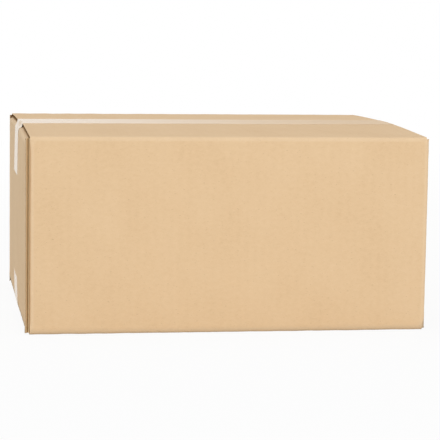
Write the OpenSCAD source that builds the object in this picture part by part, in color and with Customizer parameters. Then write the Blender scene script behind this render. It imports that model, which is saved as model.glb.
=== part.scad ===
// A closed carton of corrugated board, with a strip of packing tape along its top and bottom seams.
// It stands on its underside, its long front wall faces -Y, and lengths are in millimetres.

/* [Box] */
// Outer length, along X
box_length = 310; // [160:5:600]
// Outer depth, along Y
box_depth = 260; // [120:5:500]
// Outer height between the folds of the long flaps
box_height = 150; // [90:5:400]

/* [Board] */
// Thickness of the corrugated board
board_t = 3; // [2:0.1:4]
// Thickness of the flat paper on each face of the board
liner_t = 0.45; // [0.3:0.05:0.6]
// Distance from one flute to the next
flute_pitch = 6.4; // [4:0.2:9]
// Outer radius of a fold
fold_r = 2.6; // [1.6:0.1:3.4]
// Radius of the bead of crushed paper inside a fold
bead_r = 1.2; // [0.6:0.1:1.4]

/* [Flaps] */
// Gap between the free edges of two flaps that meet at a seam
seam_gap = 1; // [0.5:0.1:4]
// Height by which the springy top flaps lift their seam
seam_rise = 2.5; // [1:0.1:5]
// Air between a long flap and the short flap behind it
ply_gap = 0.3; // [0.2:0.05:0.8]
// Step from the outer face of an end wall to the cut end of a long flap
long_flap_inset = 2; // [1:0.1:2.4]
// Step from the outer face of a long wall to the cut end of a short flap
short_flap_inset = 4.5; // [4.2:0.1:8]
// Drop from the outer face of the long flaps to the end of each corner slot
slot_drop = 1.5; // [1:0.1:2.6]

/* [Side joint] */
// Width of the glue tab on the front wall
tab_w = 32; // [20:1:45]
// Height cut off the tab's free edge at each end
tab_cut_back = 12; // [4:1:20]
// Clearance between the tab and the folded short flaps
tab_clear = 1; // [0.5:0.1:3]
// Step from the front face back to the raw edge of the left end wall
raw_edge_step = 0.2; // [0.1:0.05:0.8]
// Step from the raw edge's board to the cut ends of the two front flaps beside it
joint_step = 0.4; // [0.2:0.1:1.5]

/* [Tape] */
// Width of the tape
tape_w = 50; // [36:1:72]
// Thickness of the tape
tape_t = 0.1; // [0.06:0.01:0.2]
// Height of the stretch of top tape on each end wall, from the top folds down
top_leg = 40; // [25:1:60]
// Height of the stretch of bottom tape on each end wall, from the bottom folds up
bottom_leg = 28; // [18:1:50]
// Width of one tooth of the torn tape end
tooth_w = 2; // [1:0.1:4]
// Depth of one tooth of the torn tape end
tooth_depth = 0.8; // [0.4:0.1:2]

/* [Hidden] */

half_length = box_length / 2;
half_depth = box_depth / 2;
// Every flap is cut to one length, so the short flaps leave a gap between them
long_flap_reach = half_depth - seam_gap / 2;
short_flap_reach = min(long_flap_reach, half_length - seam_gap / 2);
// Drop from a long flap's outer face to the outer face of the short flap behind it
short_flap_drop = board_t + ply_gap;
// Depth of a flap's fold below the flap's outer face, down to the end of the bead
fold_depth = board_t + bead_r;
// A flap's section holds some of the wall below its fold too, so that the two overlap
stub = fold_depth + bead_r;
// Place along X at which the long flaps are cut
cut_end = half_length - long_flap_inset;
// The tab stops short of the inner faces of the short flaps and of their beads
tab_end = short_flap_drop + fold_depth + tab_clear;
// Cutting shapes run past the board by its own thickness
past = board_t;
steps = 8;

board_colour = [0.86, 0.74, 0.57];
tape_colour = [0.93, 0.87, 0.77];

// Points along an arc, with both of its ends
function arc(centre, radius, from, to) =
    [for (i = [0:steps]) let (a = from + (to - from) * i / steps) centre + radius * [cos(a), sin(a)]];

// A point turned about a centre
function turned(p, centre, angle) =
    let (d = p - centre)
    centre + [d.x * cos(angle) - d.y * sin(angle), d.x * sin(angle) + d.y * cos(angle)];

// Angle at which a long flap stands when its free edge is lifted
function flap_tilt(lift) = asin(lift / (long_flap_reach - fold_r));

// Section of a wall's top end, its fold and its flap, with x inwards and y up from the fold's outer face.
// The outer face bends round the fold's radius, and the inner face has a bead of crushed paper.
function flap_section(reach, tilt) =
    let (hinge = [fold_r, -fold_r])
    concat(
        [[board_t, -stub], [0, -stub]],
        arc(hinge, fold_r, 180, 90 + tilt),
        [turned([reach, 0], hinge, tilt), turned([reach, -board_t], hinge, tilt)],
        arc([board_t, -board_t], bead_r, tilt, -90)
    );

// Section of the hollow that a cut parallel to the flutes opens, with x into the board and y across it.
// The wavy middle sheet goes from the outer liner to the inner one along half a cosine wave.
function flute_hollow() =
    let (hollow = board_t - 2 * liner_t, run = flute_pitch / 2)
    concat(
        [[-past, -liner_t - hollow], [-past, -liner_t]],
        [for (i = [0:steps]) [run * i / steps, -liner_t - hollow * (1 - cos(180 * i / steps)) / 2]]
    );

// Plan of the folded walls from the tab's fold round to the middle of the left end wall
function wall_plan() =
    let (
        tab_x = -half_length + board_t,
        tab_y = -half_depth + board_t + bead_r,
        inner_x = half_length - board_t,
        inner_y = half_depth - board_t
    )
    concat(
        [[tab_x, tab_y]],
        arc([tab_x + fold_r, -half_depth + fold_r], fold_r, 180, 270),
        arc([half_length - fold_r, -half_depth + fold_r], fold_r, 270, 360),
        arc([half_length - fold_r, half_depth - fold_r], fold_r, 0, 90),
        arc([-half_length + fold_r, half_depth - fold_r], fold_r, 90, 180),
        [[-half_length, 0], [-inner_x, 0]],
        arc([-inner_x, inner_y], bead_r, -90, 0),
        arc([inner_x, inner_y], bead_r, 180, 270),
        arc([inner_x, -inner_y], bead_r, 90, 180),
        arc([tab_x + board_t, -inner_y], bead_r, 0, 90)
    );

// A section drawn inwards and upwards from the front face, run along X between two places
module along_x(from, to)
    translate([from, -half_depth, 0]) rotate([90, 0, 90]) linear_extrude(to - from) children();

// The part of a shape that lies in front of the middle of the box's depth
module front_half()
    difference() {
        children();
        translate([-box_length, 0, -box_height]) cube([2 * box_length, box_depth, 2 * box_height]);
    }

// A shape turned as the front flap turns when its edge is lifted
module lifted(tilt)
    translate([0, -half_depth + fold_r, -fold_r])
        rotate([tilt, 0, 0]) translate([0, half_depth - fold_r, fold_r]) children();

// A shape sheared upwards to the slope of the lifted front flap, which keeps its upright faces upright
module sloped(tilt)
    translate([0, -half_depth + fold_r, 0])
        multmatrix([[1, 0, 0, 0], [0, 1, 0, 0], [0, tan(tilt), 1, 0], [0, 0, 0, 1]])
            translate([0, half_depth - fold_r, 0]) children();

// One long flap with its fold, between two places along X, and with an open flute at each cut end
module long_flap(from, to, tilt) {
    difference() {
        along_x(from, to) polygon(flap_section(long_flap_reach, tilt));
        lifted(tilt)
            translate([0, -half_depth + fold_r, 0]) {
                translate([from, 0, 0]) open_flute(long_flap_reach);
                translate([to, 0, 0]) mirror([1, 0, 0]) open_flute(long_flap_reach);
            }
    }
}

// The hollow of an opened flute, that starts at the origin, runs along Y and goes into the board along X
module open_flute(run)
    rotate([-90, 0, 0]) linear_extrude(run) mirror([0, 1]) polygon(flute_hollow());

// Half of the left short flap with its fold. It is springy and pushes the front flap up, so it has its slope.
module short_flap_half(tilt)
    front_half()
        sloped(tilt)
            translate([-half_length, past, -short_flap_drop])
                rotate([90, 0, 0])
                    linear_extrude(past + half_depth - short_flap_inset)
                        polygon(flap_section(short_flap_reach, 0));

// The four flaps and folds that close one end, drawn upwards from the plane of the long flaps' folds
module closure(tilt) {
    long_flap(-half_length + board_t + joint_step, cut_end, tilt);
    mirror([0, 1, 0]) long_flap(-cut_end, cut_end, tilt);
    for (side = [0, 1], back = [0, 1]) mirror([side, 0, 0]) mirror([0, back, 0]) short_flap_half(tilt);
}

// The space in the walls that a long flap's section and its board fill, between two places along X
module long_flap_seat(from, to)
    translate([from, -half_depth - past, -fold_depth]) cube([to - from, past + short_flap_inset, fold_depth]);

// The space in the left end wall that half of a short flap's section fills
module short_flap_seat(tilt)
    front_half()
        sloped(tilt)
            translate([-half_length - past, -half_depth + short_flap_inset, -short_flap_drop - fold_depth])
                cube([past + fold_depth, half_depth - short_flap_inset + past, short_flap_drop + fold_depth]);

// The glue tab on the inner face of the left end wall, with its free edge cut back at both ends
module glue_tab()
    translate([-half_length + board_t, -half_depth, 0])
        rotate([90, 0, 90])
            linear_extrude(board_t)
                polygon([
                    [fold_r, tab_end],
                    [tab_w, tab_end + tab_cut_back],
                    [tab_w, box_height - tab_end - tab_cut_back],
                    [fold_r, box_height - tab_end]
                ]);

// The spaces that the four flaps of one end take from the walls and leave them only the corners beside the slots
module flap_seats(tilt) {
    long_flap_seat(-half_length + board_t, cut_end);
    mirror([0, 1, 0]) long_flap_seat(-cut_end, cut_end);
    for (side = [0, 1], back = [0, 1]) mirror([side, 0, 0]) mirror([0, back, 0]) short_flap_seat(tilt);
}

// The four walls, with the raw edge of the left end wall beside the front wall's fold
module walls() {
    wall_z = box_height - 2 * slot_drop;
    difference() {
        translate([0, 0, slot_drop]) {
            linear_extrude(wall_z) polygon(wall_plan());
            translate([-half_length, -half_depth + raw_edge_step, 0])
                cube([board_t, half_depth - raw_edge_step + past, wall_z]);
        }
        translate([0, 0, box_height]) flap_seats(flap_tilt(seam_rise));
        mirror([0, 0, 1]) flap_seats(0);
        translate([-half_length, -half_depth + raw_edge_step, 0])
            linear_extrude(box_height) rotate(90) polygon(flute_hollow());
    }
    glue_tab();
}

// The folded blank: four walls, the side joint and eight flaps, in one sheet
module carton()
    color(board_colour)
        translate([0, 0, tape_t]) {
            walls();
            translate([0, 0, box_height]) closure(flap_tilt(seam_rise));
            mirror([0, 0, 1]) closure(0);
        }

// Right half of the tape's section, with its face or back at the given distance from the board.
// From the middle it runs to the cut end of a long flap, slants down to the short flap's fold in a
// tangent, bends round the fold and goes down the end wall for a length.
function tape_half_path(away, tilt, down) =
    let (
        flap_end = [cut_end, 0],
        centre = [half_length - fold_r, -fold_r - short_flap_drop * cos(tilt)],
        reach = flap_end - centre,
        slant = atan2(reach.y, reach.x) - acos(fold_r / norm(reach))
    )
    concat(
        [flap_end + away * [tan((90 - slant) / 2), 1]],
        arc(centre, fold_r + away, slant, 0),
        [[half_length + away, -down]]
    );

// Closed section of the tape from one end wall to the other
function tape_section(tilt, down) =
    let (
        inner = tape_half_path(0, tilt, down),
        outer = tape_half_path(tape_t, tilt, down),
        last = len(inner) - 1
    )
    concat(
        inner,
        [for (i = [last:-1:0]) outer[i]],
        [for (i = [0:last]) [-outer[i].x, outer[i].y]],
        [for (i = [last:-1:0]) [-inner[i].x, inner[i].y]]
    );

// Outline across the tape of what its torn ends leave off, with the tips of the teeth at height 0
function torn_off() =
    let (teeth = round(tape_w / tooth_w), half_tooth = tape_w / teeth / 2)
    concat(
        [[tape_w, -tape_w], [-tape_w, -tape_w]],
        [for (i = [-2:2 * teeth + 2]) [-tape_w / 2 + i * half_tooth, abs(i % 2) * tooth_depth]]
    );

// Half of the tape's width on the front flap, up to the seam, for a flap whose edge is lifted.
// Past the end of the flap it keeps its direction, so the two halves lean together on the end walls.
module tape_half(tilt, leg)
    difference() {
        front_half()
            lifted(tilt)
                translate([0, past, 0])
                    rotate([90, 0, 0])
                        linear_extrude(past + tape_w / 2)
                            polygon(tape_section(tilt, leg + tape_w / 2));
        translate([-box_length, 0, -leg]) rotate([90, 0, 90]) linear_extrude(2 * box_length) polygon(torn_off());
    }

// A strip of tape over a seam and down both end walls, drawn upwards from the plane of the long flaps' folds
module tape(tilt, leg) {
    tape_half(tilt, leg);
    mirror([0, 1, 0]) tape_half(tilt, leg);
}

// The strip over the lifted top seam
module top_tape()
    color(tape_colour) translate([0, 0, tape_t + box_height]) tape(flap_tilt(seam_rise), top_leg);

// The strip under the flat bottom seam
module bottom_tape()
    color(tape_colour) translate([0, 0, tape_t]) mirror([0, 0, 1]) tape(0, bottom_leg);

carton();
top_tape();
bottom_tape();
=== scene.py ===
"""The looks of a closed, taped carton of brown corrugated board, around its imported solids.

The board is made as the real one is: two flat liners with a wavy sheet between them, cut as one
blank, slotted, and folded by a formula. The tape is a thin film laid over the folded board.
Lengths are in metres, in the row's own frame: +Z up, +X along the box, and the front wall faces -Y.
"""

import math

import bpy
import numpy as np
from mathutils import Matrix, Vector


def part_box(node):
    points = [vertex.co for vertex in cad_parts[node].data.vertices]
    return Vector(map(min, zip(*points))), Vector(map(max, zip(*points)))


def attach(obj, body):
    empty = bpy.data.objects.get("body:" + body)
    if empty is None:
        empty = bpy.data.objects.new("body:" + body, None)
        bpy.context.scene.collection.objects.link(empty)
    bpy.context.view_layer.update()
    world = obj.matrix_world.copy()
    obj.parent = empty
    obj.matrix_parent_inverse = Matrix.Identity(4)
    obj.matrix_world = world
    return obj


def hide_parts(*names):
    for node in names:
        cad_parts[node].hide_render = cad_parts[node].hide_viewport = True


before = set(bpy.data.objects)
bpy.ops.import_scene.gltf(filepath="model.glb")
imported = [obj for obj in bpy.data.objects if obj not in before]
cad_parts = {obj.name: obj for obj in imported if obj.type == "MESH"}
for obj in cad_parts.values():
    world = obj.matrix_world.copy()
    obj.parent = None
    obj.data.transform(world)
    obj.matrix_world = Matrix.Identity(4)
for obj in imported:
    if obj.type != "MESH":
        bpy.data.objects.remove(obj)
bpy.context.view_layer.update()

# Sizes of the board, its folds and its slots, the same as the solids have
MM = 0.001
BOX_HEIGHT = 150 * MM
BOARD = 3 * MM
LINER = 0.45 * MM
FLUTE = 6.4 * MM
FOLD_R = 2.6 * MM
BEAD_R = 1.2 * MM
SEAM_GAP = 1 * MM
SEAM_RISE = 2.5 * MM
PLY_GAP = 0.3 * MM
LONG_INSET = 2 * MM
SHORT_INSET = 4.5 * MM
SLOT_DROP = 1.5 * MM
TAB_WIDTH = 32 * MM
TAB_SLOPE = 12 * MM
TAB_CLEAR = 1 * MM
RAW_EDGE_STEP = 0.2 * MM
JOINT_STEP = 0.4 * MM

# Sizes of the tape
TAPE_WIDTH = 50 * MM
TAPE_T = 0.1 * MM
TOP_LEG = 40 * MM
BOTTOM_LEG = 28 * MM
TOOTH_WIDTH = 2 * MM
TOOTH_DEPTH = 0.8 * MM

# How far real board gives: walls bow out and the lifted flaps arch a little
END_BOW = 1.3 * MM
LONG_BOW = 0.5 * MM
FLAP_ARCH = 0.45 * MM
UNEVEN = 0.16 * MM

# The photograph's view, fitted to the box's corners in it: the camera's place from the front left foot,
# its turn to the right, its nod upwards and its roll in degrees, and its lens in mm
CAMERA_PLACE = (-0.0747, -1.3967, 0.2611)
CAMERA_ANGLES = (9.036, -7.021, 0.861)
CAMERA_LENS = 153.4

# The studio: each softbox has its place, its width and height, its power in watts and its colour
FLOOR_RADIUS = 9.0
ROOM_STRENGTH = 0.62
LAMP_AIM = (0.0, 0.0, 0.07)
SOFTBOXES = {
    "front_softbox": ((0.4, -2.6, 0.7), (1.6, 1.2), 26.5, (1.0, 1.0, 1.0)),
    "top_softbox": ((-0.5, 0.2, 2.2), (1.4, 1.4), 10.0, (1.0, 1.0, 1.0)),
    "end_softbox": ((-2.4, -0.2, 0.4), (1.2, 1.0), 4.0, (0.78, 0.96, 1.0)),
}

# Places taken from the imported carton
carton_low, carton_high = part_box("carton")
HALF_X = carton_high[0]
HALF_Y = carton_high[1]
BASE = carton_low[2]
TOP = BASE + BOX_HEIGHT

# Sizes that follow from those above
SHORT_DROP = BOARD + PLY_GAP
FOLD_DEPTH = BOARD + BEAD_R
TAB_END = SHORT_DROP + FOLD_DEPTH + TAB_CLEAR
LONG_REACH = HALF_Y - SEAM_GAP / 2
SHORT_REACH = min(LONG_REACH, HALF_X - SEAM_GAP / 2)
TAB_X = -HALF_X + BOARD
TILT = math.asin(SEAM_RISE / (LONG_REACH - FOLD_R))

# The four walls in the order in which the blank is folded: middle of the wall, direction along it,
# and direction into the box, each seen from above
WALLS = {
    "front": ((0, -HALF_Y), (1, 0), (0, 1)),
    "right": ((HALF_X, 0), (0, 1), (-1, 0)),
    "back": ((0, HALF_Y), (-1, 0), (0, -1)),
    "left": ((-HALF_X, 0), (0, -1), (1, 0)),
}


def smooth(value, low, high):
    """0 below low, 1 above high, and 3 t^2 - 2 t^3 between them."""
    t = np.clip((value - low) / (high - low), 0, 1)
    return t * t * (3 - 2 * t)


def ripple(a, b, size, seed):
    """Gentle unevenness between about -1 and 1: seven sine waves in random directions, added up and
    scaled down. Their lengths are 0.7 to 1.6 times the given size."""
    draw = np.random.default_rng(seed)
    total = np.zeros(np.broadcast(a, b).shape)
    waves = 7
    for _ in range(waves):
        angle, phase = draw.uniform(0, 2 * np.pi, 2)
        turns = 2 * np.pi / (size * draw.uniform(0.7, 1.6))
        total += np.sin(turns * (a * np.cos(angle) + b * np.sin(angle)) + phase)
    return total / math.sqrt(waves) / 1.5


def settle(points):
    """Moves points of the ideal box as real board gives. The end walls bow out by END_BOW and the
    long walls by LONG_BOW, times sin(pi h^0.85) at a share h of the height, times 1 - q^2 at a share q
    of the way from the wall's middle to its end. The top arches by FLAP_ARCH times a half sine from
    fold to seam. All three have a slow unevenness."""
    x, y, z = points[..., 0], points[..., 1], points[..., 2]
    far, near = 22 * MM, 5 * MM
    up = np.clip((z - BASE) / BOX_HEIGHT, 0, 1)
    rise = np.sin(np.pi * up**0.85)
    at_end = smooth(np.abs(x), HALF_X - far, HALF_X - near)
    at_long = smooth(np.abs(y), HALF_Y - far, HALF_Y - near)
    along_y = np.clip(1 - (y / HALF_Y) ** 2, 0, 1)
    along_x = np.clip(1 - (x / HALF_X) ** 2, 0, 1)
    end_push = END_BOW + UNEVEN * ripple(y, z, 90 * MM, 3)
    long_push = LONG_BOW + UNEVEN * ripple(x, z, 120 * MM, 5)
    across = np.clip(np.abs(y) / HALF_Y, 0, 1)
    at_top = smooth(z, TOP - 8 * MM, TOP - 1 * MM)
    arch = np.sin(np.pi * across) * (FLAP_ARCH + UNEVEN * ripple(x, y, 110 * MM, 7))
    moved = np.array(points, float)
    moved[..., 0] += np.sign(x) * end_push * along_y * rise * at_end * (1 - at_top)
    moved[..., 1] += np.sign(y) * long_push * along_x * rise * at_long * (1 - at_top)
    moved[..., 2] += arch * at_top
    return moved


def surface_object(name, points, faces, uv, floats, material):
    """An object at the origin from vertices, quads, one UV pair a vertex and named numbers a vertex."""
    mesh = bpy.data.meshes.new(name)
    mesh.vertices.add(len(points))
    mesh.vertices.foreach_set("co", np.ascontiguousarray(points, np.float32).ravel())
    mesh.loops.add(faces.size)
    mesh.loops.foreach_set("vertex_index", faces.astype(np.int32).ravel())
    mesh.polygons.add(len(faces))
    mesh.polygons.foreach_set("loop_start", np.arange(0, faces.size, 4, dtype=np.int32))
    mesh.update(calc_edges=True)
    layer = mesh.uv_layers.new(name="sheet")
    layer.data.foreach_set("uv", uv[faces.ravel()].astype(np.float32).ravel())
    for label, values in floats.items():
        attribute = mesh.attributes.new(label, "FLOAT", "POINT")
        attribute.data.foreach_set("value", values.astype(np.float32))
    mesh.validate()
    mesh.shade_smooth()
    mesh.set_sharp_from_angle(angle=math.radians(38))
    mesh.materials.append(material)
    thing = bpy.data.objects.new(name, mesh)
    bpy.context.scene.collection.objects.link(thing)
    return thing


def slab(name, face, back, keep, uv, floats, material):
    """A closed sheet between two grids of points, with walls round the outline of the cells kept.

    Row r and column c of a grid are one corner of cell r, c. The face's cells go round to the right,
    the back's to the left, and each directed edge of a face cell that no other cell runs the other
    way gets a wall quad down to the back."""
    rows, columns = keep.shape[0] + 1, keep.shape[1] + 1
    count = rows * columns
    corner = (np.arange(rows - 1)[:, None] * columns + np.arange(columns - 1))[keep]
    front = np.stack([corner, corner + 1, corner + columns + 1, corner + columns], 1)
    edges = np.concatenate([front[:, [i, (i + 1) % 4]] for i in range(4)])
    code = edges[:, 0] * count + edges[:, 1]
    partner = edges[:, 1] * count + edges[:, 0]
    rim = edges[~np.isin(code, partner)]
    wall = np.stack([rim[:, 1], rim[:, 0], rim[:, 0] + count, rim[:, 1] + count], 1)
    faces = np.concatenate([front, front[:, ::-1] + count, wall])
    points = np.concatenate([face.reshape(-1, 3), back.reshape(-1, 3)])
    used, faces = np.unique(faces, return_inverse=True)
    faces = faces.reshape(-1, 4)
    both_uv = np.tile(uv.reshape(-1, 2), (2, 1))[used]
    both = {label: np.tile(values.ravel(), 2)[used] for label, values in floats.items()}
    return surface_object(name, points[used], faces, both_uv, both, material)


def arc(centre, radius, angles):
    """Points on a circle at the given angles in degrees."""
    turn = np.radians(angles)
    return np.asarray(centre) + radius * np.stack([np.cos(turn), np.sin(turn)], -1)


def evenly(start, end, spacing):
    """Numbers from start up to end, without the end, about a spacing apart."""
    count = max(1, round(abs(end - start) / spacing))
    return start + (end - start) * np.arange(count) / count


class Blank:
    """The blank as columns round the box and rows from the bottom flaps' edges to the top flaps' edges.

    Every layer of the board lies at one depth between the blank's outer and inner skin. In plan and
    in section a straight stretch is two parallel lines a board apart. A fold is an arc of FOLD_R
    outside and an arc of BEAD_R about the inner corner inside, which is where the board is crushed."""

    # Steps round a fold, width of the step from a slot to a flap, and distances between rows
    FOLD_STEPS = 8
    SLOT_STEP = 0.05 * MM
    FLAP_SPACING = 6 * MM
    WALL_SPACING = 6 * MM
    # Closer rows next to a wall's two folds, and the columns from the front flap's cut end to flat board
    FIRST_ROWS = np.array([0, 1.2, 3, 6, 10]) * MM
    PAST_FOLD = 5

    def __init__(self, spacing):
        self.plan(spacing)
        self.levels()

    def plan(self, spacing):
        """Lists the columns: the outer and inner point in plan, the wall, and the length round the box."""
        quarter = np.linspace(0, 90, self.FOLD_STEPS + 1)
        inner_x, inner_y = HALF_X - BOARD, HALF_Y - BOARD
        outer, inner, wall = [], [], []

        def straight(name, low, high, inner_low, inner_high, stops=()):
            """A straight wall between two places along it, with columns at the stops too."""
            places = [low, *stops, high]
            a = np.concatenate([evenly(p, q, spacing) for p, q in zip(places, places[1:])])
            share = (a - low) / (high - low)
            middle, along, into = (np.array(v, float) for v in WALLS[name])
            outer.append(middle + along * a[:, None])
            inner_a = inner_low + (inner_high - inner_low) * share
            inner.append(middle + into * BOARD + along * inner_a[:, None])
            wall.extend([name] * len(a))

        def fold(centre, corner, start, before, after, cut):
            """A fold of a quarter turn: the outer arc goes with the turn and the bead's goes back.
            A column stands where a long flap is cut, cut degrees from the start."""
            angles = quarter.copy()
            angles[np.argmin(np.abs(quarter - cut))] = cut
            outer.append(arc(centre, FOLD_R, start + angles)[:-1])
            inner.append(arc(corner, BEAD_R, start - 90 - quarter)[:-1])
            first = before in ("front", "back")
            wall.extend([before if a < cut or (a == cut and first) else after for a in angles[:-1]])

        cut = math.degrees(math.asin((FOLD_R - LONG_INSET) / FOLD_R))
        joint_cut = math.degrees(math.acos((FOLD_R - JOINT_STEP) / FOLD_R))
        slots = np.array([-1, -1, 1, 1]) * (HALF_Y - SHORT_INSET)
        slots = slots + np.array([-1, 0, 0, 1]) * self.SLOT_STEP
        bead_end = BOARD + BEAD_R
        tab_y = evenly(-HALF_Y + TAB_WIDTH, -HALF_Y + FOLD_R, spacing)
        tab_share = (tab_y - tab_y[0]) / (-HALF_Y + FOLD_R - tab_y[0])
        inner_tab_y = tab_y[0] + tab_share * (-HALF_Y + bead_end - tab_y[0])
        outer.append(np.stack([np.full_like(tab_y, TAB_X), tab_y], 1))
        inner.append(np.stack([np.full_like(tab_y, TAB_X + BOARD), inner_tab_y], 1))
        wall.extend(["tab"] * len(tab_y))
        fold((TAB_X + FOLD_R, -HALF_Y + FOLD_R), (TAB_X + BOARD, -inner_y), 180, "tab", "front", joint_cut)
        straight("front", TAB_X + FOLD_R, HALF_X - FOLD_R, TAB_X + bead_end, HALF_X - bead_end)
        fold((HALF_X - FOLD_R, -HALF_Y + FOLD_R), (inner_x, -inner_y), 270, "front", "right", cut)
        straight("right", -HALF_Y + FOLD_R, HALF_Y - FOLD_R, -HALF_Y + bead_end, HALF_Y - bead_end, slots)
        fold((HALF_X - FOLD_R, HALF_Y - FOLD_R), (inner_x, inner_y), 0, "right", "back", 90 - cut)
        straight("back", -HALF_X + FOLD_R, HALF_X - FOLD_R, -HALF_X + bead_end, HALF_X - bead_end)
        fold((-HALF_X + FOLD_R, HALF_Y - FOLD_R), (-inner_x, inner_y), 90, "back", "left", cut)
        edge = HALF_Y - RAW_EDGE_STEP
        straight("left", -HALF_Y + FOLD_R, edge, -HALF_Y + bead_end, edge, slots)
        outer.append([[-HALF_X, -edge]])
        inner.append([[-HALF_X + BOARD, -edge]])
        wall.append("left")

        self.outer = np.concatenate(outer)
        self.inner = np.concatenate(inner)
        self.wall = np.array(wall)
        middle = (self.outer + self.inner) / 2
        steps = np.linalg.norm(np.diff(middle, axis=0), axis=1)
        self.round = np.concatenate([[0], np.cumsum(steps)])

    def levels(self):
        """Finds each column's flap range and the heights between which its wall stands."""
        count = len(self.wall)
        self.along = np.zeros(count)
        self.flap = np.zeros(count, bool)
        self.end_drop = np.full(count, SLOT_DROP)
        self.lift = np.zeros(count)
        for name, (middle, along, _) in WALLS.items():
            mine = self.wall == name
            a = (self.outer - np.array(middle)) @ np.array(along, float)
            self.along[mine] = a[mine]
            long = name in ("front", "back")
            low, high = {
                "front": (TAB_X + JOINT_STEP, HALF_X - LONG_INSET),
                "back": (-HALF_X + LONG_INSET, HALF_X - LONG_INSET),
            }.get(name, (-HALF_Y + SHORT_INSET, HALF_Y - SHORT_INSET))
            slack = 0.02 * MM
            flap = mine & (a > low - slack) & (a < high + slack)
            self.flap |= flap
            self.end_drop[flap] = FOLD_R if long else SHORT_DROP + FOLD_R
            if not long:
                self.lift[flap] = math.tan(TILT) * (HALF_Y - FOLD_R - np.abs(a[flap]))
        tab = self.wall == "tab"
        self.end_drop[tab] = FOLD_DEPTH
        on_tab = tab & (self.outer[:, 1] > -HALF_Y + FOLD_R + 1 * MM)
        back = (self.outer[on_tab, 1] + HALF_Y - FOLD_R) / (TAB_WIDTH - FOLD_R)
        self.end_drop[on_tab] = TAB_END + TAB_SLOPE * back

    def section(self, reach, tilt):
        """Outer and inner skin of a fold and its flap, as distance inwards and height over the fold."""
        angles = np.linspace(0, 1, self.FOLD_STEPS + 1)
        hinge = np.array([FOLD_R, -FOLD_R])
        corner = np.array([BOARD, -BOARD])
        turn = np.array([[math.cos(tilt), math.sin(tilt)], [-math.sin(tilt), math.cos(tilt)]])
        outer_fold = arc(hinge, FOLD_R, 180 - (90 - math.degrees(tilt)) * angles)
        inner_fold = arc(corner, BEAD_R, -90 + (90 + math.degrees(tilt)) * angles)
        outer_end = (np.array([reach, 0]) - hinge) @ turn + hinge
        inner_end = (np.array([reach, -BOARD]) - hinge) @ turn + hinge
        count = round(reach / self.FLAP_SPACING)
        share = (np.arange(1, count + 1) / count)[:, None]
        outer = np.concatenate([outer_fold, outer_fold[-1] + (outer_end - outer_fold[-1]) * share])
        inner = np.concatenate([inner_fold, inner_fold[-1] + (inner_end - inner_fold[-1]) * share])
        return outer, inner

    def closure(self, top, depth):
        """Points of all the flaps of one end at a depth from 0, outside, to 1, inside: rows from the
        wall to the flaps' edges. A flap's point is its place along the wall, plus the section's
        distance inwards, at the section's height over the plane of the folds. The short flaps at
        the top rise with the slope of the long ones, by tan(TILT) times the way in from their folds."""
        tilt = TILT if top else 0.0
        long_skins = self.section(LONG_REACH, tilt)
        short_skins = self.section(SHORT_REACH, 0.0)
        rows = len(long_skins[0])
        points = np.zeros((rows, len(self.wall), 3))
        for name, (middle, along, into) in WALLS.items():
            mine = self.wall == name
            long = name in ("front", "back")
            outer, inner = long_skins if long else short_skins
            share = depth[mine]
            u = outer[:, :1] + (inner[:, :1] - outer[:, :1]) * share
            v = outer[:, 1:] + (inner[:, 1:] - outer[:, 1:]) * share
            drop = 0.0 if long else SHORT_DROP
            plan = (
                np.array(middle)
                + self.along[mine][None, :, None] * np.array(along)
                + u[..., None] * np.array(into)
            )
            points[:, mine, :2] = plan
            points[:, mine, 2] = TOP - drop + self.lift[mine] + v if top else BASE + drop - v
        return points

    def layer(self, depth):
        """Grid of points at a depth a column, from the bottom flaps' edges up to the top flaps' edges."""
        top = self.closure(True, depth)
        bottom = self.closure(False, depth)
        low = BASE + self.end_drop
        high = TOP - self.end_drop + self.lift
        count = round(BOX_HEIGHT / self.WALL_SPACING)
        ends = self.FIRST_ROWS / BOX_HEIGHT
        inside = np.linspace(ends[-1], 1 - ends[-1], count)[1:-1]
        share = np.concatenate([ends, inside, 1 - ends[::-1]])[:, None]
        plan = self.outer + (self.inner - self.outer) * depth[:, None]
        wall = np.zeros((len(share), len(self.wall), 3))
        wall[..., :2] = plan
        wall[..., 2] = low + (high - low) * share
        near = 1 - smooth(np.minimum(share, 1 - share), 0, ends[-1])
        flat = np.where(self.flap[:, None], top[0, :, :2], plan)
        wall[..., :2] += (flat - plan) * near[..., None]
        self.wall_rows = len(share)
        self.fold_rows = self.FOLD_STEPS
        self.flap_rows = len(top) - self.FOLD_STEPS - 1
        return np.concatenate([bottom[:0:-1], wall, top[1:]])

    def heights(self, grid):
        """Length up the blank of each row of a grid, 0 at the foot of the walls, measured on the front."""
        column = np.argmax(self.flap & (self.wall == "front")) + self.PAST_FOLD
        steps = np.linalg.norm(np.diff(grid[:, column], axis=0), axis=1)
        length = np.concatenate([[0], np.cumsum(steps)])
        return length - length[self.flap_rows + self.fold_rows]

    def cells(self):
        """Which cells are board: all those of the walls, and those of the flaps between their cut ends."""
        beside = self.flap[:-1] & self.flap[1:] & (self.wall[:-1] == self.wall[1:])
        ends = self.flap_rows + self.fold_rows
        flaps = np.tile(beside, (ends, 1))
        walls = np.ones((self.wall_rows - 1, len(beside)), bool)
        return np.concatenate([flaps, walls, flaps])

    def flutes(self):
        """Number of flutes up to each column, counted round the box. It is whole where a long flap is
        cut and at the raw edge, so that the wave starts against the outer liner there."""
        stops = [0]
        for name in ("front", "back"):
            mine = np.flatnonzero(self.flap & (self.wall == name))
            stops += [mine[0], mine[-1]]
        stops.append(len(self.round) - 1)
        places = self.round[stops]
        counts = np.concatenate([[0], np.cumsum(np.rint(np.diff(places) / FLUTE))])
        return np.interp(self.round, places, counts)

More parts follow.
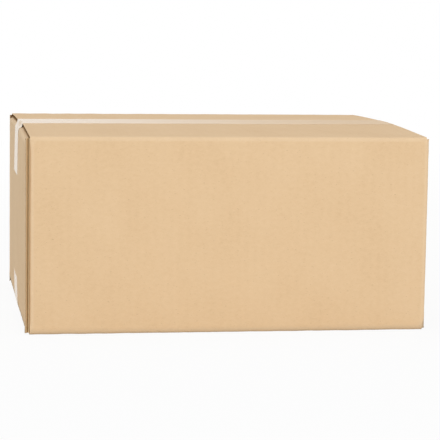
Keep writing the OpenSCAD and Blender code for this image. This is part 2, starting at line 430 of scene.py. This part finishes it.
    def to_cut(self, grid):
        """Distance from each point to the nearest cut edge of the blank, and 50 mm where none is near."""
        height = self.heights(grid)[:, None]
        far = 50 * MM
        free_edge = np.minimum(height - height[0], height[-1] - height)
        side_cut = np.full(len(self.wall), far)
        for name in WALLS:
            mine = self.flap & (self.wall == name)
            side_cut[mine] = np.minimum(
                self.along[mine] - self.along[mine].min(), self.along[mine].max() - self.along[mine]
            )
        on_flap = np.minimum(free_edge, side_cut)
        raw_edge = np.minimum(self.round[-1] - self.round, far) + 0 * height
        z = grid[..., 2]
        slot_end = np.minimum(z - BASE, TOP - z) - self.end_drop
        on_wall = np.minimum(raw_edge, np.where(self.flap, far, slot_end))
        first = self.flap_rows + self.fold_rows
        rows = np.arange(len(grid))[:, None]
        walls = (rows >= first) & (rows < first + self.wall_rows)
        return np.clip(np.where(walls, on_wall, on_flap), 0, far)

    def crease(self, grid):
        """1 on the folds of the outer skin, falling evenly to 0 at 2.5 mm beside them. A point's distance
        is the lesser of the length up the blank to a flap's fold and the distance in plan to a corner's."""
        fade = 2.5 * MM
        height = self.heights(grid)[:, None]
        wall_top = height[self.flap_rows + self.fold_rows + self.wall_rows - 1]
        arc_length = FOLD_R * math.pi / 2
        below = np.abs(height + arc_length / 2)
        above = np.abs(height - wall_top - arc_length / 2)
        flat = np.maximum(0, np.minimum(below, above) - arc_length / 2)
        lines = []
        for centre_x, centre_y in (
            (TAB_X, -HALF_Y),
            (HALF_X, -HALF_Y),
            (HALF_X, HALF_Y),
            (-HALF_X, HALF_Y),
        ):
            away = np.linalg.norm(self.outer - np.array([centre_x, centre_y]), axis=1)
            lines.append(np.maximum(0, away - FOLD_R))
        upright = np.min(lines, axis=0)[None, :] + 0 * height
        on_wall = (height >= 0) & (height <= wall_top)
        upright = np.where(on_wall, upright, 1.0)
        return np.clip(1 - np.minimum(flat + 0 * upright, upright) / fade, 0, 1)


class Value:
    """A socket of a material or a world. Python expressions on a number socket add Math nodes."""

    def __init__(self, shader, socket):
        self.shader = shader
        self.socket = socket

    def maths(self, operation, *others):
        """A Math node on this number and the others."""
        return self.shader.node("ShaderNodeMath", {"operation": operation}, self, *others)

    def __add__(self, other):
        return self.maths("ADD", other)

    def __sub__(self, other):
        return self.maths("SUBTRACT", other)

    def __rsub__(self, other):
        return self.shader.node("ShaderNodeMath", {"operation": "SUBTRACT"}, other, self)

    def __mul__(self, other):
        return self.maths("MULTIPLY", other)

    def between(self, low, high):
        """0 below low, 1 above high, smooth between."""
        settings = {"interpolation_type": "SMOOTHSTEP", "clamp": True}
        return self.shader.node("ShaderNodeMapRange", settings, self, low, high, 0.0, 1.0)

    __radd__ = __add__
    __rmul__ = __mul__


class Shader:
    """The nodes of a new material or world. node() adds any node, and the others add the usual ones."""

    def __init__(self, owner):
        self.owner = owner
        owner.use_nodes = True
        self.tree = owner.node_tree
        self.tree.nodes.clear()

    def node(self, kind, settings, *values, output=0, **named):
        """Adds a node, sets its settings, then feeds its sockets in order or by name. None leaves a socket
        as it is. Returns one output as a Value, by its number or name."""
        made = self.tree.nodes.new(kind)
        for label, setting in settings.items():
            if label == "stops":
                ramp = made.color_ramp
                while len(ramp.elements) < len(setting):
                    ramp.elements.new(0.5)
                for element, (place, colour) in zip(ramp.elements, setting):
                    element.position = place
                    element.color = (*colour, 1)
            else:
                setattr(made, label, setting)
        sockets = list(zip(made.inputs, values))
        sockets += [(made.inputs[label.replace("_", " ")], value) for label, value in named.items()]
        for socket, value in sockets:
            if isinstance(value, Value):
                self.tree.links.new(value.socket, socket)
            elif value is not None:
                if socket.type == "RGBA":
                    value = (*value, 1)
                socket.default_value = value
        return Value(self, made.outputs[output]) if len(made.outputs) else None

    def sheet(self):
        """The piece's own flat coordinates in metres, as the paper lay before it was folded."""
        return self.node("ShaderNodeUVMap", {"uv_map": "sheet"})

    def attribute(self, name):
        """A number that the piece's mesh holds for each vertex."""
        return self.node("ShaderNodeAttribute", {"attribute_name": name}, output="Fac")

    def grain(self, flat, kind):
        """Noise between about 0 and 1 on flat coordinates, of a kind from the list of grains."""
        (along, up), turn, detail, roughness = kind
        laid = self.node(
            "ShaderNodeMapping", {}, Vector=flat, Rotation=(0.0, 0.0, turn), Scale=(along, up, 1.0)
        )
        return self.node(
            "ShaderNodeTexNoise", {}, Vector=laid, Scale=1.0, Detail=detail, Roughness=roughness
        )

    def blend(self, share, first, second):
        """Mixes two colours by a share. Five sockets for other kinds of data stand before the colours."""
        others = [None] * 5
        settings = {"data_type": "RGBA"}
        return self.node("ShaderNodeMix", settings, share, *others, first, second, output=2)

    def relief(self, height, distance, strength=1.0, normal=None):
        """Bump from a height between about 0 and 1, where 1 stands a distance in metres high."""
        return self.node(
            "ShaderNodeBump", {}, Strength=strength, Distance=distance, Height=height, Normal=normal
        )

    def as_backdrop(self):
        """1 for rays that show this as a background, seen straight, in gloss or through glass, else 0."""
        rays = ("Is Camera Ray", "Is Glossy Ray", "Is Transmission Ray")
        camera, mirror, glass = [self.node("ShaderNodeLightPath", {}, output=ray) for ray in rays]
        return camera.maths("MAXIMUM", mirror).maths("MAXIMUM", glass)

    def finish(self, **sockets):
        """Adds the surface's shader and the output, and returns the material."""
        surface = self.node("ShaderNodeBsdfPrincipled", {}, **sockets)
        self.node("ShaderNodeOutputMaterial", {}, Surface=surface)
        return self.owner


# Colours, in linear light
KRAFT = (0.748, 0.524, 0.305)
KRAFT_LIGHT = (0.795, 0.574, 0.350)
KRAFT_DARK = (0.660, 0.440, 0.243)
# pale folds: partly cracked fibres, partly a painted highlight of the rounded folds
KRAFT_CREASE_AND_HIGHLIGHT = (0.820, 0.615, 0.400)
# painted shade of the folds that turn under at the foot and of the box's contact with the floor
KRAFT_FOOT_SHADE = (0.400, 0.285, 0.175)
FRAYED = (0.820, 0.620, 0.410)
# pale papers for the raw edge: painted light that lifts the shade of its open flutes
BACK_EDGE_PAINTED_LIGHT = (0.840, 0.620, 0.350)
MIDDLE_EDGE_PAINTED_LIGHT = (0.710, 0.512, 0.285)
# painted shade of the raw edge's open flutes, laid on the outer liner's edge
RAW_EDGE_SHADE = (0.350, 0.240, 0.140)
FLECK = (0.430, 0.270, 0.150)
# inner papers: the medium's own darker brown, made darker still as painted shade of the hollows and gaps at
# the cut ends
INSIDE_AND_SHADE = (0.440, 0.280, 0.135)
MIDDLE_PAPER_AND_SHADE = (0.400, 0.250, 0.115)
MIDDLE_DARK_AND_SHADE = (0.310, 0.185, 0.080)
FILM = (0.752, 0.540, 0.325)
# pale tape: air under its streaks and rims, and a painted reflection of the white backdrop at the left end
FILM_PALE_AND_REFLECTION = (0.940, 0.755, 0.560)
# darker board seen through the tape, and painted shade of the seam's gap
FILM_DARK_AND_SEAM_SHADE = (0.560, 0.385, 0.225)
WHITE = (1.0, 1.0, 1.0)
FLOOR_PAINT = (0.80, 0.80, 0.80)
ROOM_AIR = (0.97, 0.985, 1.0)

# Grains of the flat sheets: noise waves a metre along and up, turn in radians, detail and roughness
CLOUDS = ((26.0, 18.0), 0.0, 3.0, 0.55)
PULP = ((210.0, 330.0), 0.2, 4.0, 0.62)
FIBRES = ((420.0, 3200.0), 0.12, 3.0, 0.60)
CROSS_FIBRES = ((2600.0, 520.0), -0.35, 3.0, 0.60)
BARK = ((520.0, 1500.0), -0.15, 1.0, 0.40)
CRACKLE = ((900.0, 900.0), 0.0, 3.0, 0.70)
INNER_PULP = ((150.0, 260.0), 0.2, 4.0, 0.60)
INNER_FIBRES = ((500.0, 2600.0), -0.1, 3.0, 0.60)
BOARD_UNDER_FILM = ((160.0, 160.0), 0.0, 3.0, 0.60)
DRAWN_LINES = ((6.0, 2400.0), 0.0, 2.0, 0.50)
DULL_PATCHES = ((24.0, 300.0), 0.0, 3.0, 0.60)
WRINKLES = ((55.0, 420.0), 0.0, 3.0, 0.55)

# Heights of the reliefs, from their lowest to their highest point
PAPER_RELIEF = 0.05 * MM
CRACK_RELIEF = 0.10 * MM
INNER_RELIEF = 0.04 * MM
DRAWN_RELIEF = 0.006 * MM
WRINKLE_RELIEF = 0.05 * MM


def kraft_liner():
    """Brown kraft paper over flutes: fibres along the machine direction, cloudy pulp, dark bark flecks,
    faint stripes along the flutes that are painted shade of their ripple, pale folds that are partly
    cracked fibres and partly a painted highlight, rubbed cut edges, painted shade on the liner's edge
    at the raw edge, and painted shade along the edges that the box stands on."""
    s = Shader(bpy.data.materials.new("kraft_liner"))
    flat = s.sheet()
    clouds = s.grain(flat, CLOUDS)
    pulp = s.grain(flat, PULP)
    fibres = s.grain(flat, FIBRES)
    cross_fibres = s.grain(flat, CROSS_FIBRES)
    crackle = s.grain(flat, CRACKLE)
    flecks = s.grain(flat, BARK).between(0.70, 0.78)
    stripes = (s.attribute("flutes") * (2 * math.pi)).maths("COSINE") * 0.5 + 0.5
    crease = s.attribute("crease")
    # pale folds: partly cracked fibres, partly a painted highlight of the rounded folds
    worn_and_highlit = (crease * (0.35 + crackle * 0.9)).between(0.30, 1.05)
    frayed = 1 - (s.attribute("to_cut") + crackle * (0.8 * MM)).between(0.3 * MM, 1.2 * MM)
    # painted shade of the open flutes at the raw edge, on the outer liner's last 0.7 mm
    painted_raw_edge_shade = 1 - s.attribute("to_raw_edge").between(0.1 * MM, 0.7 * MM)
    # painted shade along the foot of the box, where the folds turn under towards the floor
    painted_foot_shade = s.attribute("scuff") * (0.4 + crackle * 0.8)

    # the flute stripes' small share of the tone is painted shade of the washboard ripple
    tone = clouds * 0.24 + pulp * 0.29 + fibres * 0.27 + cross_fibres * 0.185 + stripes * 0.015
    stops = [(0.27, KRAFT_DARK), (0.47, KRAFT), (0.67, KRAFT_LIGHT)]
    colour = s.node("ShaderNodeValToRGB", {"stops": stops}, tone)
    colour = s.blend(flecks * 0.5, colour, FLECK)
    colour = s.blend(worn_and_highlit * 0.5, colour, KRAFT_CREASE_AND_HIGHLIGHT)
    colour = s.blend(frayed * 0.4, colour, FRAYED)
    colour = s.blend(painted_raw_edge_shade * 0.85, colour, RAW_EDGE_SHADE)
    colour = s.blend(painted_foot_shade * 0.5, colour, KRAFT_FOOT_SHADE)

    height = stripes * 0.40 + fibres * 0.12 + cross_fibres * 0.08 + pulp * 0.15
    paper = s.relief(height, PAPER_RELIEF, 0.8)
    return s.finish(
        Base_Color=colour,
        Roughness=0.62 + pulp * 0.22 - worn_and_highlit * 0.05,
        Specular_IOR_Level=0.25,
        Normal=s.relief(crackle * (crease + frayed), CRACK_RELIEF, 0.8, paper),
    )


def inner_paper(name, base, dark, edge_painted_light):
    """Plain paper inside the board, which shows at its cuts: one brown with cloudy pulp and fibres, and
    paler near the raw edge, as painted light that lifts the shade of the open flutes there."""
    s = Shader(bpy.data.materials.new(name))
    flat = s.sheet()
    pulp = s.grain(flat, INNER_PULP)
    fibres = s.grain(flat, INNER_FIBRES)
    # painted light near the raw edge, which lifts the shade of the open flutes there
    painted_light_at_edge = 1 - s.attribute("to_raw_edge").between(1.5 * MM, 4.0 * MM)
    colour = s.blend((pulp * 0.6 + fibres * 0.4).between(0.3, 0.7), dark, base)
    colour = s.blend(painted_light_at_edge * 0.8, colour, edge_painted_light)
    return s.finish(
        Base_Color=colour,
        Roughness=0.80 + fibres * 0.1,
        Specular_IOR_Level=0.05,
        Normal=s.relief(fibres, INNER_RELIEF),
    )


def packing_film():
    """Clear packing tape over the board: glossy, drawn in fine lines along its length, with painted shade
    of the seam's gap along its middle, pale streaks and rims, and a left end that is glossier because it
    is less pressed down and paler as a painted reflection of the white backdrop. It is wetted from 0.17 m
    left to 0.15 m right of the middle."""
    s = Shader(bpy.data.materials.new("packing_film"))
    flat = s.sheet()
    along = s.node("ShaderNodeSeparateXYZ", {}, flat, output="X")
    across = s.node("ShaderNodeSeparateXYZ", {}, flat, output="Y")
    middle = across.maths("ABSOLUTE")
    board = s.grain(flat, BOARD_UNDER_FILM)
    drawn = s.grain(flat, DRAWN_LINES)
    patches = s.grain(flat, DULL_PATCHES).between(0.50, 0.76)
    wrinkles = s.grain(flat, WRINKLES)
    wetted = along.between(-0.17, 0.15)
    rim = middle.between(TAPE_WIDTH / 2 - 2.5 * MM, TAPE_WIDTH / 2)
    seam = 1 - middle.between(0.2 * MM, 1.4 * MM)

    colour = s.blend(board.between(0.25, 0.75), FILM_DARK_AND_SEAM_SHADE, FILM)
    colour = s.blend(0.70, colour, FILM)
    # the paler left end is a painted reflection of the white backdrop; streaks and rims are air under the
    # film
    colour = s.blend((1 - wetted) * 0.42 + patches * 0.15 + rim * 0.15 + 0.08, colour, FILM_PALE_AND_REFLECTION)
    # painted shade of the seam's gap under the tape
    colour = s.blend(seam * 0.45 * s.attribute("over_seam"), colour, FILM_DARK_AND_SEAM_SHADE)
    lines = s.relief(drawn, DRAWN_RELIEF, 0.6)
    return s.finish(
        Base_Color=colour,
        Roughness=0.20 + wetted * 0.34 + patches * 0.08 + drawn * 0.05,
        Specular_IOR_Level=0.5,
        Normal=s.relief(wrinkles, WRINKLE_RELIEF, 0.5, lines),
    )


def white_floor():
    """A white studio floor. It is lit for the object. The camera sees it lifted most of the way to
    white near the box, where it keeps the box's soft shadow, and all the way further out."""
    s = Shader(bpy.data.materials.new("white_floor"))
    place = s.node("ShaderNodeTexCoord", {}, output="Object")
    away = s.node("ShaderNodeVectorMath", {"operation": "LENGTH"}, place, output="Value")
    lifted = away.between(0.25, 1.6) * 0.08 + 0.92
    lit = s.node("ShaderNodeBsdfDiffuse", {}, Color=FLOOR_PAINT)
    white = s.node("ShaderNodeEmission", {}, Color=WHITE, Strength=1.0)
    surface = s.node("ShaderNodeMixShader", {}, s.as_backdrop() * lifted, lit, white)
    s.node("ShaderNodeOutputMaterial", {}, Surface=surface)
    return s.owner


def board_floats(blank, grid):
    """What the materials read at each point of a board layer: how creased it is, how much painted shade
    it takes along its foot, how far it lies from a cut edge and from the raw edge, and its count of
    flutes. The painted shade is on the lowest 6 mm of the box, more on the end walls, which stand on the
    short flaps, than on the folds."""
    crease = blank.crease(grid)
    at_end = smooth(np.abs(grid[..., 0]), HALF_X - 3 * MM, HALF_X - 1 * MM)
    low = 1 - smooth(grid[..., 2] - BASE - at_end * SHORT_DROP, 2 * MM, 6 * MM)
    return {
        "crease": crease,
        # painted shade along the foot, where the folds turn under towards the floor
        "scuff": low * (crease * 0.7 + at_end * 1.2),
        "to_cut": blank.to_cut(grid),
        "to_raw_edge": np.broadcast_to(blank.round[-1] - blank.round, grid.shape[:2]),
        "flutes": np.broadcast_to(blank.flutes(), grid.shape[:2]),
    }


def sheet_uv(blank, grid):
    """Flat coordinates of the blank: length round the box, and length up the blank."""
    heights = blank.heights(grid)
    return np.stack(np.broadcast_arrays(blank.round[None, :], heights[:, None]), -1)


def rough_fold(blank, grid, amount):
    """Moves points near the folds along their normals by amount times crease times an unevenness of
    13 mm and 5 mm waves, mostly inwards, as crushed board has."""
    crease = blank.crease(grid)
    across = np.gradient(grid, axis=1)
    upward = np.gradient(grid, axis=0)
    normal = np.cross(across, upward)
    normal /= np.maximum(np.linalg.norm(normal, axis=-1, keepdims=True), 1e-12)
    uv = sheet_uv(blank, grid)
    wave = ripple(uv[..., 0], uv[..., 1], 13 * MM, 11) + 0.5 * ripple(uv[..., 0], uv[..., 1], 5 * MM, 13)
    return grid + normal * (amount * crease * (wave - 0.8))[..., None]


def make_liner(name, near, far, spacing, roughness, material):
    """A flat liner of the blank, between two depths of the board, with columns a spacing apart."""
    blank = Blank(spacing)
    width = len(blank.wall)
    face = rough_fold(blank, blank.layer(np.full(width, near)), roughness)
    back = blank.layer(np.full(width, far))
    uv = sheet_uv(blank, face)
    floats = board_floats(blank, face)
    return slab(name, settle(face), settle(back), blank.cells(), uv, floats, material)


def make_fluting(material):
    """The wavy middle sheet: its depth in the board is 0.5 - swing cos(2 pi n) at a count of n flutes.
    The swing takes it a glue's bite into the liners. It needs fewer rows than the liners do."""
    blank = Blank(FLUTE / 8)
    share = LINER / BOARD
    half_sheet, bite = 0.045, 0.005
    swing = 0.5 - share - half_sheet + bite
    depth = 0.5 - swing * np.cos(2 * math.pi * blank.flutes())
    face = blank.layer(depth - half_sheet)
    back = blank.layer(depth + half_sheet)
    ends = blank.flap_rows + blank.fold_rows
    bottom = [*range(0, blank.flap_rows, 4), *range(blank.flap_rows, ends, 2), ends]
    walls = range(ends, ends + blank.wall_rows, 4)
    top = len(face) - 1 - np.array(bottom)
    rows = np.unique([*bottom, *walls, *top])
    cells = blank.cells()[rows[:-1]]
    uv = sheet_uv(blank, face)[rows]
    floats = {"to_raw_edge": board_floats(blank, face)["to_raw_edge"][rows]}
    return slab("fluting", settle(face[rows]), settle(back[rows]), cells, uv, floats, material)


def tape_path(tilt, flap_end):
    """The tape's way from the middle of the box to the top of its leg, as rows of points, with one
    column for each place along X at which the flap under it ends. Heights are over the long flap.
    It is flat as far as the flap's end b. Beside it, it sinks into the step on a quadratic curve,
    t^2 a + 2 t (1 - t) k + (1 - t)^2 b, where k is a point near the step's corner and a is the point
    at which a line from k touches the short flap's fold. From a it goes round that fold."""
    flat_rows, sink_rows, bend_rows = 44, 7, 6
    drop = SHORT_DROP * math.cos(tilt)
    centre = np.array([HALF_X - FOLD_R, -FOLD_R - drop])
    end = np.stack([flap_end, 0 * flap_end], -1)
    corner = end + np.array([0.4 * MM, 0.2 * MM - drop])
    reach = corner - centre
    touch = np.arctan2(reach[:, 1], reach[:, 0]) - np.arccos(FOLD_R / np.linalg.norm(reach, axis=-1))
    flat = end * np.linspace(0, 1, flat_rows)[:, None, None]
    bend = arc(centre, FOLD_R, np.degrees(touch * np.linspace(1, 0, bend_rows)[:, None]))
    t = (np.arange(1, sink_rows) / sink_rows)[:, None, None]
    sink = t**2 * bend[0] + 2 * t * (1 - t) * corner + (1 - t) ** 2 * end
    return np.concatenate([flat, sink, bend])


def tape_quarter(tilt, leg, extra_inset):
    """The right end of the half of the tape on the front flap, from the strip's edge to the seam. It is
    worked out in the flap's own tilted frame: a column lies an even share of the way from the edge to
    the seam's plane, and the last rows go straight down the wall to teeth of TOOTH_WIDTH."""
    columns = round(TAPE_WIDTH / TOOTH_WIDTH) + 1
    share = np.linspace(0, 1, columns)
    path = tape_path(tilt, HALF_X - LONG_INSET - extra_inset * (1 - smooth(share, 0.7, 1)))
    leg_rows = 16
    part = np.concatenate([np.zeros(len(path)), np.arange(1, leg_rows + 1) / leg_rows])
    path = np.concatenate([path, np.repeat(path[-1:], leg_rows, axis=0)])
    x, height = path[..., 0], path[..., 1]
    edge = HALF_Y - FOLD_R - TAPE_WIDTH / 2
    teeth = -leg + TOOTH_DEPTH * (np.arange(columns) % 2)
    far = edge + (HALF_Y - FOLD_R - edge) * share
    tooth_height = (teeth + FOLD_R - far * math.sin(tilt)) / math.cos(tilt) - FOLD_R
    height = height + (tooth_height - height) * part[:, None]
    seam = (HALF_Y - FOLD_R + (FOLD_R + height) * math.sin(tilt)) / math.cos(tilt)
    inward = edge + (seam - edge) * share
    y = -HALF_Y + FOLD_R + inward * math.cos(tilt) - (FOLD_R + height) * math.sin(tilt)
    z = -FOLD_R + inward * math.sin(tilt) + (FOLD_R + height) * math.cos(tilt)
    return np.stack([x, y, z], -1)


def tape_strip(name, material, side, tilt, leg, least_gap, loose_gap, seed):
    """A strip of tape over a seam: a quarter, mirrored to the other side of the seam and to the other end.
    The flap at the front left ends further in, beside the raw edge. The side is 1 for the top and -1 for
    the bottom, which is the top turned over. The strip stands off the board by the least gap, and by up
    to the loose gap more in slow waves."""
    plain = tape_quarter(tilt, leg, 0.0)
    beside_edge = tape_quarter(tilt, leg, BOARD + JOINT_STEP - LONG_INSET)
    other = plain[:, -2::-1] * np.array([1, -1, 1])
    right = np.concatenate([plain, other], 1)
    left = np.concatenate([beside_edge, other], 1)[:0:-1] * np.array([-1, 1, 1])
    grid = np.concatenate([left, right])
    steps = np.linalg.norm(np.diff(grid[:, 0], axis=0), axis=1)
    along = np.concatenate([[0], np.cumsum(steps)])
    along -= along[-1] / 2
    across = np.linspace(-TAPE_WIDTH / 2, TAPE_WIDTH / 2, grid.shape[1])
    uv = np.stack(np.broadcast_arrays(along[:, None], across[None, :]), -1)
    on_flaps = HALF_X - LONG_INSET - np.abs(grid[:, grid.shape[1] // 2, 0])
    over_seam = np.repeat(smooth(on_flaps, -0.5 * MM, 0.5 * MM)[:, None], grid.shape[1], axis=1)
    grid[..., 2] = grid[..., 2] * side + (TOP if side > 0 else BASE)
    grid = settle(grid)
    normal = side * np.cross(np.gradient(grid, axis=0), np.gradient(grid, axis=1))
    normal /= np.maximum(np.linalg.norm(normal, axis=-1, keepdims=True), 1e-12)
    waves = 0.5 + 0.5 * ripple(uv[..., 0], uv[..., 1] * 2.5, 34 * MM, seed)
    gap = least_gap + loose_gap * np.clip(waves, 0, 1)
    inner = grid + normal * gap[..., None]
    outer = grid + normal * (gap + TAPE_T)[..., None]
    keep = np.ones((grid.shape[0] - 1, grid.shape[1] - 1), bool)
    face, back, uv, over_seam = [values[::-1, ::side] for values in (outer, inner, uv, over_seam)]
    return slab(name, face, back, keep, uv, {"over_seam": over_seam}, material)


def make_object():
    """Makes the carton's three papers and the two strips of tape, hangs them on the root body, and hides
    the imported parts that they stand in for.
    """
    middle_paper = inner_paper("middle_paper", MIDDLE_PAPER_AND_SHADE, MIDDLE_DARK_AND_SHADE, MIDDLE_EDGE_PAINTED_LIGHT)
    back_paper = inner_paper("back_paper", INSIDE_AND_SHADE, MIDDLE_PAPER_AND_SHADE, BACK_EDGE_PAINTED_LIGHT)
    share = LINER / BOARD
    outer_liner = make_liner(
        "outer_liner", 0.0, share, spacing=3.2 * MM, roughness=0.10 * MM, material=kraft_liner()
    )
    inner_liner = make_liner(
        "inner_liner", 1 - share, 1.0, spacing=9 * MM, roughness=0.0, material=back_paper
    )
    fluting = make_fluting(middle_paper)
    for piece in (outer_liner, inner_liner, fluting):
        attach(piece, "root")
        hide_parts("carton")
    film = packing_film()
    top = tape_strip(
        "top_film", film, 1, TILT, TOP_LEG, least_gap=0.01 * MM, loose_gap=0.05 * MM, seed=17
    )
    bottom = tape_strip(
        "bottom_film", film, -1, 0.0, BOTTOM_LEG, least_gap=0.004 * MM, loose_gap=0.0, seed=19
    )
    for piece, node in ((top, "top_tape"), (bottom, "bottom_tape")):
        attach(piece, "root")
        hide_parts(node)


def make_floor():
    """A round white floor far wider than the view."""
    radius, sides = FLOOR_RADIUS, 96
    angles = np.arange(sides) / sides * 2 * math.pi
    points = np.stack([radius * np.cos(angles), radius * np.sin(angles), 0 * angles], 1)
    mesh = bpy.data.meshes.new("floor")
    mesh.from_pydata(points.tolist(), [], [list(range(sides))])
    mesh.materials.append(white_floor())
    floor = bpy.data.objects.new("floor", mesh)
    bpy.context.scene.collection.objects.link(floor)


def make_camera():
    """The photograph's view, from camera place and angles fitted to the box's corners in it."""
    front_left_foot = Vector((-HALF_X, -HALF_Y, 0.0))
    place = front_left_foot + Vector(CAMERA_PLACE)
    turn, nod, roll = (math.radians(angle) for angle in CAMERA_ANGLES)
    ahead = Vector((math.sin(turn) * math.cos(nod), math.cos(turn) * math.cos(nod), math.sin(nod)))
    right = Vector((math.cos(turn), -math.sin(turn), 0.0))
    up = right.cross(ahead)
    leaned_right = right * math.cos(roll) + up * math.sin(roll)
    leaned_up = up * math.cos(roll) - right * math.sin(roll)
    matrix = Matrix((leaned_right, leaned_up, -ahead)).transposed().to_4x4()
    matrix.translation = place
    data = bpy.data.cameras.new("camera")
    data.sensor_width = 36.0
    data.lens = CAMERA_LENS
    data.clip_start, data.clip_end = 0.05, 60.0
    camera = bpy.data.objects.new("camera", data)
    camera.matrix_world = matrix
    bpy.context.scene.collection.objects.link(camera)
    bpy.context.scene.camera = camera


def softbox(name, place, size, power, colour):
    """A rectangular lamp at a place, turned to face the box."""
    data = bpy.data.lights.new(name, "AREA")
    data.shape = "RECTANGLE"
    data.size, data.size_y = size
    data.energy = power
    data.color = colour
    lamp = bpy.data.objects.new(name, data)
    lamp.location = place
    lamp.rotation_euler = (Vector(LAMP_AIM) - Vector(place)).to_track_quat("-Z", "Y").to_euler()
    bpy.context.scene.collection.objects.link(lamp)


def make_light():
    """A world that is white as a backdrop and softer as light, and the softboxes."""
    world = bpy.data.worlds.new("studio")
    bpy.context.scene.world = world
    s = Shader(world)
    room = s.node("ShaderNodeBackground", {}, Color=ROOM_AIR, Strength=ROOM_STRENGTH)
    white = s.node("ShaderNodeBackground", {}, Color=WHITE, Strength=1.0)
    mixed = s.node("ShaderNodeMixShader", {}, s.as_backdrop(), room, white)
    s.node("ShaderNodeOutputWorld", {}, Surface=mixed)
    for name, lamp in SOFTBOXES.items():
        softbox(name, *lamp)


make_camera()
make_floor()
make_light()
make_object()

scene = bpy.context.scene
scene.view_settings.view_transform = "Standard"
